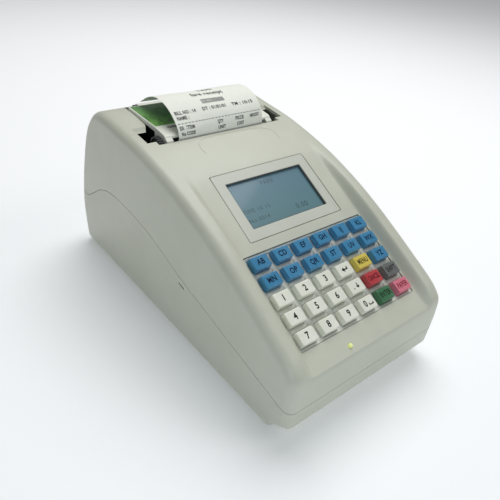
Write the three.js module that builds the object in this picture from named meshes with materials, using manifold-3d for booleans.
// Desktop fare meter with a 30-key keypad, a graphic display and an 80 mm receipt printer.
// Millimetres, +Z up, +X to the right of a person facing the keys, +Y away from them.
// The origin is on the table, under the middle of the machine.
import * as THREE from 'three';
import { mergeVertices } from 'three/addons/utils/BufferGeometryUtils.js';
import Module from 'manifold-3d';

const wasm = await Module();
wasm.setup();

// ---- driving dimensions -------------------------------------------------------------
const WIDTH = 150;
const DEPTH = 287;
const WALL = 2.5;
const EDGE_ROUND = 7;
const GAP = 0.35;
const TRAY_BOTTOM = 1.2;
const DEG = Math.PI / 180;

// Sloping front panel. Its own axes are u across, v up the slope and n out of it.
const PANEL_TILT = 27.6 * DEG;
const PANEL_ORIGIN_Y = 46;
const PANEL_ORIGIN_Z = 77;
const RECESS_FOOT = 57;
const RECESS_DRAFT = 0.42;

// Keypad.
const PITCH_U = 18.8;
const PITCH_V = 13.8;
const KEY_WIDTH = 14.2;
const KEY_LENGTH = 10.2;
const KEY_TOP = 3.6;
const KEY_SKIRT = 1;
const KEY_DRAFT_HEIGHT = 3.9;
const KEY_DRAFT = 0.5;
const KEY_TRAVEL = 2.5;
const KEYPAD_U = 56;
const KEYPAD_V = 35;
const PLATE_TOP = -1.2;

// Display.
const DISPLAY_V = 71;
const BEZEL_U = 44;
const BEZEL_V = 28.3;
const WINDOW_U = 35.3;
const WINDOW_V = 19.3;

// Printer. Places are given as distance from the front face and height above the table.
const HINGE = { y: 240, z: 136.5, barrel: 3.6, pin: 1.1 };
const PLATEN = { y: 186, z: 127, radius: 6.4, shaft: 2, half: 40.6 };
const PLATEN_GEAR = 7.5;
const IDLER = { y: 181, z: 111.6, radius: 8.4 };
const PINION = { y: 170.5, z: 104.4, radius: 4 };
const GEAR_X = [-55.5, -51.5];
const ROLL = { y: 217, z: 96, radius: 27, bore: 7, half: 39.8 };
const FRAME_INSIDE = 41.5;
const FRAME_OUTSIDE = 43.5;
const LID_HALF = 50;
const EXIT_Y = 177.2;
const LID_OPENING_REAR = 244;
const OPENING_HALF = 57;
const SCOOP_HALF = 64;
const PAPER_HALF = 39.75;
const PAPER_THICK = 0.3;

// Rear panel.
const REAR_SOCKET_Z = 28;
const SWITCH_X = 46;
const JACK_X = -46;

// ---- materials ----------------------------------------------------------------------
const finish = (color, roughness, metalness = 0) =>
  new THREE.MeshStandardMaterial({ color, roughness, metalness });
const HOUSING = finish(0xc8cbb9, 0.5);
const PALE = finish(0xd6d9d0, 0.5);
const BLUE = finish(0x3c82b4, 0.4);
const WHITE = finish(0xe6e8da, 0.4);
const YELLOW = finish(0xd7c35a, 0.4);
const RED = finish(0xb93c41, 0.4);
const GREEN = finish(0x3c6e4b, 0.4);
const GREY = finish(0x696e6c, 0.4);
const PINK = finish(0xdc8291, 0.4);
const GLASS = finish(0x5a828f, 0.15);
const BOARD = finish(0x1f5a36, 0.5);
const RUBBER = finish(0x222222, 0.85);
const DARK = finish(0x26282a, 0.55);
const STEEL = finish(0xb9bdc2, 0.3, 1);
const PAPER = finish(0xf1f3ec, 0.9);
const GEAR_PLASTIC = finish(0x303234, 0.45);
const LED_LENS = finish(0xcdd764, 0.2);
const CELL_WRAP = finish(0x3a5f8c, 0.5);

// ---- solids -------------------------------------------------------------------------
function toSolid(geometry) {
  const bare = geometry.index ? geometry.toNonIndexed() : geometry.clone();
  bare.deleteAttribute('normal');
  bare.deleteAttribute('uv');
  const merged = mergeVertices(bare, 1e-4);
  return new wasm.Manifold(new wasm.Mesh({
    numProp: 3,
    vertProperties: merged.attributes.position.array,
    triVerts: new Uint32Array(merged.index.array),
  }));
}

function toGeometry(solid) {
  const mesh = solid.getMesh();
  const geometry = new THREE.BufferGeometry();
  geometry.setAttribute('position', new THREE.BufferAttribute(mesh.vertProperties, 3));
  geometry.setIndex(new THREE.BufferAttribute(mesh.triVerts, 1));
  geometry.computeVertexNormals();
  return geometry;
}

const join = (...solids) => solids.reduce((a, b) => a.add(b));
const cut = (solid, ...tools) => tools.reduce((a, b) => a.subtract(b), solid);

// A box from its low and high limits along each axis.
function boxGeometry([x0, x1], [y0, y1], [z0, z1]) {
  const geometry = new THREE.BoxGeometry(x1 - x0, y1 - y0, z1 - z0);
  return geometry.translate((x0 + x1) / 2, (y0 + y1) / 2, (z0 + z1) / 2);
}
const box = (x, y, z) => toSolid(boxGeometry(x, y, z));

// Extrudes an outline drawn as (y, z) along X, between two values of x.
const SIDE_ON = new THREE.Matrix4().makeBasis(
  new THREE.Vector3(0, 1, 0), new THREE.Vector3(0, 0, 1), new THREE.Vector3(1, 0, 0));
function acrossGeometry(shape, [x0, x1], round = 0) {
  const geometry = new THREE.ExtrudeGeometry(shape, {
    depth: x1 - x0 - 2 * round,
    bevelEnabled: round > 0,
    bevelThickness: round,
    bevelSize: round,
    bevelOffset: -round,
    bevelSegments: 4,
    curveSegments: 8,
  });
  return geometry.translate(0, 0, x0 + round).applyMatrix4(SIDE_ON);
}
const across = (shape, x, round) => toSolid(acrossGeometry(shape, x, round));
const polygon = (points) => new THREE.Shape(points.map(([y, z]) => new THREE.Vector2(y, z)));

// A rod along X.
function rodGeometry(radius, [x0, x1], y, z, sides = 20) {
  const geometry = new THREE.CylinderGeometry(radius, radius, x1 - x0, sides);
  return geometry.rotateZ(Math.PI / 2).translate((x0 + x1) / 2, y, z);
}
const rod = (...place) => toSolid(rodGeometry(...place));

// Moves a geometry from the panel's axes to the machine's.
const PANEL_MATRIX = new THREE.Matrix4().makeRotationX(PANEL_TILT)
  .setPosition(0, PANEL_ORIGIN_Y, PANEL_ORIGIN_Z);
const panelBox = (u, v, n) => toSolid(boxGeometry(u, v, n).applyMatrix4(PANEL_MATRIX));

// ---- the machine's side outline -----------------------------------------------------
function outlinePoints() {
  const point = (y, z) => new THREE.Vector2(y, z);
  const path = new THREE.Path();
  path.moveTo(18, TRAY_BOTTOM);
  path.lineTo(12, 7.5);
  path.lineTo(0.6, 15.5);
  path.lineTo(0, 30);
  path.lineTo(0, 44);
  path.splineThru([point(1, 55), point(5, 61), point(13, 67.5), point(46, 86), point(101, 113)]);
  path.splineThru([point(137, 124), point(177, 132.5), point(224, 136.8), point(240, 138.6)]);
  path.splineThru([point(256, 130), point(268, 113), point(280, 78), point(286, 50)]);
  path.splineThru([point(DEPTH, 32), point(284.5, 10)]);
  path.quadraticCurveTo(282.5, TRAY_BOTTOM, 274, TRAY_BOTTOM);
  return path.getPoints(3);
}

// The outline moved inwards by a wall thickness.
function sideOutline(inset = 0) {
  const points = outlinePoints();
  const count = points.length;
  return new THREE.Shape(points.map((here, i) => {
    const before = points[(i + count - 1) % count];
    const after = points[(i + 1) % count];
    const along = after.clone().sub(before).normalize();
    return new THREE.Vector2(here.x + along.y * inset, here.y - along.x * inset);
  }));
}

// Everything above the sloping panel and between the two side rails.
function panelRecess(grow = 0) {
  const foot = RECESS_FOOT + grow;
  const height = 40;
  const section = new THREE.Shape([
    new THREE.Vector2(-foot, -grow),
    new THREE.Vector2(foot, -grow),
    new THREE.Vector2(foot + height * RECESS_DRAFT, height),
    new THREE.Vector2(-foot - height * RECESS_DRAFT, height),
  ]);
  const length = 175;
  const geometry = new THREE.ExtrudeGeometry(section, { depth: length, bevelEnabled: false });
  geometry.rotateX(Math.PI / 2).translate(0, 104, 0);
  return toSolid(geometry.applyMatrix4(PANEL_MATRIX));
}

// The opening for the lid, seen from above: wide at the paper exit, narrow behind.
function lidOpening() {
  const narrow = LID_HALF + 0.4;
  const shape = new THREE.Shape();
  shape.moveTo(-OPENING_HALF, EXIT_Y);
  shape.lineTo(OPENING_HALF, EXIT_Y);
  shape.lineTo(OPENING_HALF, 196);
  shape.bezierCurveTo(OPENING_HALF, 204, narrow, 203, narrow, 212);
  shape.lineTo(narrow, LID_OPENING_REAR);
  shape.lineTo(-narrow, LID_OPENING_REAR);
  shape.lineTo(-narrow, 212);
  shape.bezierCurveTo(-narrow, 203, -OPENING_HALF, 204, -OPENING_HALF, 196);
  shape.closePath();
  const depth = 60;
  const geometry = new THREE.ExtrudeGeometry(shape, { depth, bevelEnabled: false, curveSegments: 5 });
  return toSolid(geometry.translate(0, 0, 100));
}

// Finger scoops beside the lid: a ledge that curves up to the shoulder behind it.
function fingerScoops(grow = 0) {
  const floor = 129.8 - grow;
  const shape = new THREE.Shape();
  shape.moveTo(182 - grow, 160);
  shape.lineTo(182 - grow, floor);
  shape.lineTo(194 + grow, floor);
  shape.quadraticCurveTo(204 + grow, floor + 1, 208 + grow, 160);
  shape.closePath();
  return across(shape, [-SCOOP_HALF - grow, SCOOP_HALF + grow]);
}

// The joint line between tray and cover, raised or lowered by half the gap.
function belowJoint(shift) {
  const seam = new THREE.Path();
  seam.moveTo(-5, 28.5);
  seam.lineTo(105, 53.5);
  seam.splineThru([
    new THREE.Vector2(147, 66), new THREE.Vector2(189, 74), new THREE.Vector2(229, 75),
    new THREE.Vector2(257, 61), new THREE.Vector2(271, 52.5),
  ]);
  seam.lineTo(300, 52);
  const points = seam.getPoints(4).map((p) => [p.x, p.y + shift]);
  return across(polygon([...points, [300, -20], [-5, -20]]), [-90, 90]);
}

function housingShell() {
  const half = WIDTH / 2;
  const outside = cut(across(sideOutline(), [-half, half], EDGE_ROUND), panelRecess(), fingerScoops());
  const inner = half - WALL;
  const hollow = cut(across(sideOutline(WALL), [-inner, inner], EDGE_ROUND - WALL),
    panelRecess(WALL), fingerScoops(WALL));
  return cut(outside, hollow);
}

// ---- the object ---------------------------------------------------------------------
const meter = new THREE.Group();
meter.position.y = -DEPTH / 2;
const panel = new THREE.Group();
panel.rotation.x = PANEL_TILT;
panel.position.set(0, PANEL_ORIGIN_Y, PANEL_ORIGIN_Z);
meter.add(panel);

function place(name, shape, material, parent = meter) {
  const geometry = shape.getMesh ? toGeometry(shape) : shape;
  const mesh = new THREE.Mesh(geometry, material);
  mesh.name = name;
  parent.add(mesh);
  return mesh;
}

// Housing: tray below the joint line, cover above it.
const FOOT_RADIUS = 6;
const FOOT_PLACES = [[-58, 32], [58, 32], [-58, 262], [58, 262]];
const shell = housingShell();
const rearHoles = [
  box([SWITCH_X - 8.3, SWITCH_X + 8.3], [270, 300], [REAR_SOCKET_Z - 6.3, REAR_SOCKET_Z + 6.3]),
  box([JACK_X - 4.8, JACK_X + 4.8], [270, 300], [REAR_SOCKET_Z - 5.8, REAR_SOCKET_Z + 5.8]),
];
const footPockets = FOOT_PLACES.map(([x, y]) => {
  const pocket = new THREE.CylinderGeometry(FOOT_RADIUS + GAP, FOOT_RADIUS + GAP, 3, 20);
  return toSolid(pocket.rotateX(Math.PI / 2).translate(x, y, TRAY_BOTTOM));
});
const prySlot = box([-80, -WIDTH / 2 + 1.2], [115, 122], [50.6, 52.4]);
place('base_tray', cut(shell.intersect(belowJoint(-0.22)), ...rearHoles, ...footPockets, prySlot), HOUSING);

const ledHole = new THREE.CylinderGeometry(1.85, 1.85, 20, 16).rotateX(Math.PI / 2);
ledHole.translate(-21, -45.5, 0).applyMatrix4(PANEL_MATRIX);
const coverOpenings = [
  panelBox([-KEYPAD_U, KEYPAD_U], [-KEYPAD_V, KEYPAD_V], [-8, 2]),
  panelBox([-BEZEL_U, BEZEL_U], [DISPLAY_V - BEZEL_V, DISPLAY_V + BEZEL_V], [-8, 8]),
  lidOpening(),
  toSolid(ledHole),
];
place('top_cover', cut(shell.subtract(belowJoint(0.22)), ...coverOpenings), HOUSING);

FOOT_PLACES.forEach(([x, y], i) => {
  const foot = new THREE.CylinderGeometry(FOOT_RADIUS, FOOT_RADIUS - 0.6, 2.3, 20);
  const mesh = place(`foot_${i + 1}`, foot.rotateX(Math.PI / 2), RUBBER);
  mesh.position.set(x, y, 1.15);
});

// Keypad: 30 sprung caps over a rubber sheet and a contact board.
const KEY_ROWS = [
  [['key_ab', BLUE], ['key_cd', BLUE], ['key_ef', BLUE], ['key_gh', BLUE], ['key_ij', BLUE],
    ['key_kl', BLUE]],
  [['key_mn', BLUE], ['key_op', BLUE], ['key_qr', BLUE], ['key_st', BLUE], ['key_uv', BLUE],
    ['key_wx', BLUE]],
  [['key_1', WHITE], ['key_2', WHITE], ['key_3', WHITE], ['key_back', WHITE], ['key_menu', YELLOW],
    ['key_yz', BLUE]],
  [['key_4', WHITE], ['key_5', WHITE], ['key_6', WHITE], ['key_point', WHITE], ['key_cancel', RED],
    ['key_shift', GREY]],
  [['key_7', WHITE], ['key_8', WHITE], ['key_9', WHITE], ['key_0', WHITE], ['key_enter', GREEN],
    ['key_paper', PINK]],
];

function roundedRectangle(width, length, radius) {
  const x = width / 2;
  const y = length / 2;
  const shape = new THREE.Shape();
  shape.absarc(x - radius, y - radius, radius, 0, Math.PI / 2);
  shape.absarc(radius - x, y - radius, radius, Math.PI / 2, Math.PI);
  shape.absarc(radius - x, radius - y, radius, Math.PI, 1.5 * Math.PI);
  shape.absarc(x - radius, radius - y, radius, 1.5 * Math.PI, 2 * Math.PI);
  return shape;
}

const keyCap = new THREE.ExtrudeGeometry(roundedRectangle(KEY_WIDTH, KEY_LENGTH, 1.4), {
  depth: KEY_SKIRT,
  bevelThickness: KEY_DRAFT_HEIGHT,
  bevelSize: KEY_DRAFT,
  bevelOffset: -KEY_DRAFT,
  bevelSegments: 1,
  curveSegments: 2,
});
const keyHoles = [];
KEY_ROWS.forEach((row, r) => row.forEach(([name, material], c) => {
  const u = (c - 2.5) * PITCH_U;
  const v = (2 - r) * PITCH_V;
  const cap = place(name, keyCap.clone(), material, panel);
  cap.position.set(u, v, KEY_TOP - KEY_DRAFT_HEIGHT - KEY_SKIRT);
  const halfU = KEY_WIDTH / 2 + GAP;
  const halfV = KEY_LENGTH / 2 + GAP;
  keyHoles.push(box([u - halfU, u + halfU], [v - halfV, v + halfV], [-10, 10]));
}));

const keypadPlate = join(
  box([GAP - KEYPAD_U, KEYPAD_U - GAP], [GAP - KEYPAD_V, KEYPAD_V - GAP], [-4.2, PLATE_TOP]),
  box([-58.4, 58.4], [-37, 37], [-4.2, -WALL - GAP]),
);
place('keypad_plate', cut(keypadPlate, ...keyHoles), PALE, panel);
const DOME_TOP = KEY_TOP - 2 * KEY_DRAFT_HEIGHT - KEY_SKIRT - KEY_TRAVEL - GAP;
place('dome_sheet', boxGeometry([-55, 55], [-34, 34], [DOME_TOP - 1.5, DOME_TOP]), RUBBER, panel);
place('keypad_board', boxGeometry([-56, 56], [-35, 35], [DOME_TOP - 3.4, DOME_TOP - 1.8]), BOARD, panel);

// Display: a flush bezel, a clear pane in its opening, and the module behind.
const windowHole = box([-WINDOW_U, WINDOW_U], [DISPLAY_V - WINDOW_V, DISPLAY_V + WINDOW_V], [-9, 5]);
const bezelPlate = join(
  box([GAP - BEZEL_U, BEZEL_U - GAP], [DISPLAY_V - BEZEL_V + GAP, DISPLAY_V + BEZEL_V - GAP], [-3.9, -0.1]),
  box([-46.5, 46.5], [DISPLAY_V - 31, DISPLAY_V + 26], [-3.9, -WALL - GAP]),
);
place('display_bezel', cut(bezelPlate, windowHole), PALE, panel);
const paneU = WINDOW_U - GAP;
const paneV = WINDOW_V - GAP;
place('display_window', boxGeometry([-paneU, paneU], [DISPLAY_V - paneV, DISPLAY_V + paneV], [-3.9, -2.4]),
  GLASS, panel);
place('lcd_module', join(
  box([-40, 40], [DISPLAY_V - 24, DISPLAY_V + 24], [-10, -4.3]),
  box([-46, 46], [DISPLAY_V - 30, DISPLAY_V + 30], [-11.6, -9.8]),
), BOARD, panel);

// Status lamp in the nose of the panel.
const lampProfile = [
  new THREE.Vector2(0, -5), new THREE.Vector2(1.5, -5), new THREE.Vector2(1.5, 0.4),
  new THREE.Vector2(1.2, 1.2), new THREE.Vector2(0.6, 1.7), new THREE.Vector2(0, 1.85),
];
const lampLens = new THREE.LatheGeometry(lampProfile, 16).rotateX(Math.PI / 2);
const lamp = place('power_led', lampLens, LED_LENS, panel);
lamp.position.set(-21, -45.5, 0);

// Electronics in the tray.
place('main_board', join(
  box([-60, 60], [24, 150], [9, 10.6]),
  box([-24, 4], [60, 88], [10.5, 13]),
  box([18, 46], [96, 110], [10.5, 18]),
  box([-52, -34], [100, 140], [10.5, 22]),
), BOARD);
place('battery_pack', join(
  ...[0, 1, 2, 3, 4].map((i) => rod(9, [-42, 42], 190 + i * 17.4, 16, 24)),
  box([-42.5, 42.5], [182, 268], [14.6, 17.4]),
), CELL_WRAP);

// Printer frame: side plates, paper bucket and hinge cheeks in one moulding.
function printerFrame() {
  const side = polygon([
    [158, 90], [184, 90], [184, 44], [248, 44], [248, 127], [243.4, 129],
    [243, HINGE.z], [242, 139], [238, 139], [237, 130], [190, 130], [189, 128], [181, 127], [158, 121.5],
  ]);
  const bucket = polygon([[184, 64], [248, 64], [248, 127], [184, 127]]);
  const inside = polygon([[186.2, 66.3], [245.8, 66.3], [245.8, 150], [186.2, 150]]);
  const slot = box([-60, 60], [PLATEN.y - 3, PLATEN.y + 3], [PLATEN.z - 3, 150]);
  const body = join(
    across(side, [-FRAME_OUTSIDE, -FRAME_INSIDE]),
    across(side, [FRAME_INSIDE, FRAME_OUTSIDE]),
    cut(across(bucket, [-FRAME_OUTSIDE, FRAME_OUTSIDE]), across(inside, [-FRAME_INSIDE, FRAME_INSIDE]),
      box([-FRAME_INSIDE, FRAME_INSIDE], [180, 190], [116, 150])),
    rod(1.5, [GEAR_X[0] - 0.6, -FRAME_OUTSIDE + 0.5], IDLER.y, IDLER.z),
  );
  const pinHole = rod(HINGE.pin + GAP, [-60, 60], HINGE.y, HINGE.z, 12);
  const motorHole = rod(3, [-60, -FRAME_INSIDE + 1], PINION.y, PINION.z, 12);
  return cut(body, slot, pinHole, motorHole);
}
place('printer_frame', printerFrame(), DARK);

place('print_head', join(
  box([-40.5, 40.5], [176.4, 179.1], [117, 128]),
  box([-38, 38], [172.5, 176.6], [118, 127]),
), STEEL);
place('tear_bar', join(
  box([-41, 41], [177.55, 178], [128.3, 133]),
  box([-41, 41], [174.6, 178], [128.3, 128.8]),
), STEEL);
place('stepper_motor', join(
  rod(12, [-41, -23], PINION.y, PINION.z, 28),
  rod(4.5, [-23.2, -21], PINION.y, PINION.z, 16),
), STEEL);

// Gears: plain spur wheels whose tips run with a small clearance.
function spurShape(radius, teeth, bore) {
  const depth = 0.9;
  const points = [];
  for (let i = 0; i < teeth * 4; i += 1) {
    const angle = (i / (teeth * 4)) * 2 * Math.PI;
    const reach = i % 4 < 2 ? radius : radius - depth;
    points.push(new THREE.Vector2(reach * Math.cos(angle), reach * Math.sin(angle)));
  }
  const shape = new THREE.Shape(points);
  if (bore > 0) shape.holes.push(new THREE.Path().absarc(0, 0, bore, 0, 2 * Math.PI, true));
  return shape;
}
function gearGeometry(radius, teeth, bore, [x0, x1]) {
  const geometry = new THREE.ExtrudeGeometry(spurShape(radius, teeth, bore), {
    depth: x1 - x0,
    bevelEnabled: false,
    curveSegments: 8,
  });
  return geometry.translate(0, 0, x0).applyMatrix4(SIDE_ON);
}
place('platen_gear', gearGeometry(PLATEN_GEAR, 22, PLATEN.shaft + 0.3, GEAR_X), GEAR_PLASTIC)
  .position.set(0, PLATEN.y, PLATEN.z);
place('idler_gear', gearGeometry(IDLER.radius, 25, 1.85, GEAR_X), GEAR_PLASTIC)
  .position.set(0, IDLER.y, IDLER.z);
place('motor_pinion', join(
  toSolid(gearGeometry(PINION.radius, 11, 0, GEAR_X)),
  rod(1, [GEAR_X[1] - 1, -41.4], 0, 0, 12),
), STEEL).position.set(0, PINION.y, PINION.z);

// Platen: rubber sleeve on a steel shaft, carried by the lid.
const platenProfile = [
  [0, -56.4], [PLATEN.shaft, -56.4], [PLATEN.shaft, -PLATEN.half], [PLATEN.radius, -PLATEN.half],
  [PLATEN.radius, PLATEN.half], [PLATEN.shaft, PLATEN.half], [PLATEN.shaft, 50.8], [0, 50.8],
].map(([r, x]) => new THREE.Vector2(r, x));
place('platen_roller', new THREE.LatheGeometry(platenProfile, 24).rotateZ(-Math.PI / 2), RUBBER)
  .position.set(0, PLATEN.y, PLATEN.z);

// Lid: plate, hinge barrel, side walls and two ears that hold the platen.
function paperLid() {
  const plate = polygon([[181, 133.8], [181, 135.4], [182.6, 136.5], [196, 138.2], [236, 140.1], [236, 137.9],
    [196, 136], [186, 134.6], [183, 133.8]]);
  const web = polygon([[235, 137.9], [235, 140.1], [HINGE.y, 140.1], [HINGE.y, 137.9]]);
  const wall = polygon([[183, 134.2], [183, 136.2], [196, 137.9], [236, 139.5], [235, 136.8], [196, 134.8]]);
  const ear = polygon([[177.9, 132.6], [179.6, 121.5], [191, 121.5], [196, 131.5], [196, 137.9],
    [182.8, 136.2], [178.3, 133.2]]);
  const body = join(
    across(plate, [-LID_HALF, LID_HALF]),
    across(web, [-40.8, 40.8]),
    across(wall, [-LID_HALF, -LID_HALF + 2.5]),
    across(wall, [LID_HALF - 2.5, LID_HALF]),
    across(ear, [-LID_HALF, -44.6]),
    across(ear, [44.6, LID_HALF]),
    rod(HINGE.barrel, [-40.8, 40.8], HINGE.y, HINGE.z, 24),
  );
  return cut(body, rod(HINGE.pin + GAP, [-60, 60], HINGE.y, HINGE.z, 12),
    rod(PLATEN.shaft + GAP, [-60, 60], PLATEN.y, PLATEN.z, 20));
}
place('paper_lid', paperLid(), PALE);
place('hinge_pin', rodGeometry(HINGE.pin, [-44.2, 44.2], HINGE.y, HINGE.z, 16), STEEL);

// Paper roll in the bucket.
const rollProfile = [
  [ROLL.bore, -ROLL.half], [ROLL.radius, -ROLL.half], [ROLL.radius, ROLL.half], [ROLL.bore, ROLL.half],
  [ROLL.bore, -ROLL.half],
].map(([r, x]) => new THREE.Vector2(r, x));
place('paper_roll', new THREE.LatheGeometry(rollProfile, 40).rotateZ(-Math.PI / 2), PAPER)
  .position.set(0, ROLL.y, ROLL.z);

// Printed strip that rises from the exit and curls back over the lid.
function receiptShape() {
  const curl = new THREE.SplineCurve([
    [178.35, 131], [178.7, 136], [180.6, 141.2], [185, 146.6], [191, 150.9], [198, 153.8], [206, 154.9],
    [214, 154], [222, 151], [229, 147], [235.4, 143],
  ].map(([y, z]) => new THREE.Vector2(y, z)));
  const steps = 24;
  const sideAt = (i, side) => {
    const along = curl.getTangent(i / steps);
    const here = curl.getPoint(i / steps);
    return new THREE.Vector2(here.x - along.y * side, here.y + along.x * side);
  };
  const upper = [];
  const lower = [];
  for (let i = 0; i <= steps; i += 1) {
    upper.push(sideAt(i, PAPER_THICK / 2));
    lower.push(sideAt(i, -PAPER_THICK / 2));
  }
  return new THREE.Shape([...lower, ...upper.reverse()]);
}
place('receipt', acrossGeometry(receiptShape(), [-PAPER_HALF, PAPER_HALF]), PAPER);

// Power switch and supply socket in the rear wall.
const rearBlock = (x, halfX, y, halfZ) =>
  box([x - halfX, x + halfX], y, [REAR_SOCKET_Z - halfZ, REAR_SOCKET_Z + halfZ]);
place('switch_body', cut(
  rearBlock(SWITCH_X, 7.9, [272, 286.4], 5.9),
  rearBlock(SWITCH_X, 6.2, [279, 290], 4.8),
), DARK);
const rockerOutline = polygon([[-3.4, -1.6], [-3.4, 1.6], [0.6, 4.3], [1.5, 4.2], [0.7, 0], [1.5, -4.2],
  [0.6, -4.3]]);
const rocker = place('switch_rocker', acrossGeometry(rockerOutline, [-5.8, 5.8]), DARK);
rocker.position.set(SWITCH_X, 284.4, REAR_SOCKET_Z);
rocker.rotation.x = -8 * DEG;

const jackBore = new THREE.CylinderGeometry(3.2, 3.2, 10, 20).translate(JACK_X, 281.6, REAR_SOCKET_Z);
const jackPin = new THREE.CylinderGeometry(1, 1, 9, 10).translate(JACK_X, 281, REAR_SOCKET_Z);
place('dc_jack', join(
  cut(rearBlock(JACK_X, 4.4, [271, 286.5], 5.4), toSolid(jackBore)),
  toSolid(jackPin),
), DARK);

export default meter;
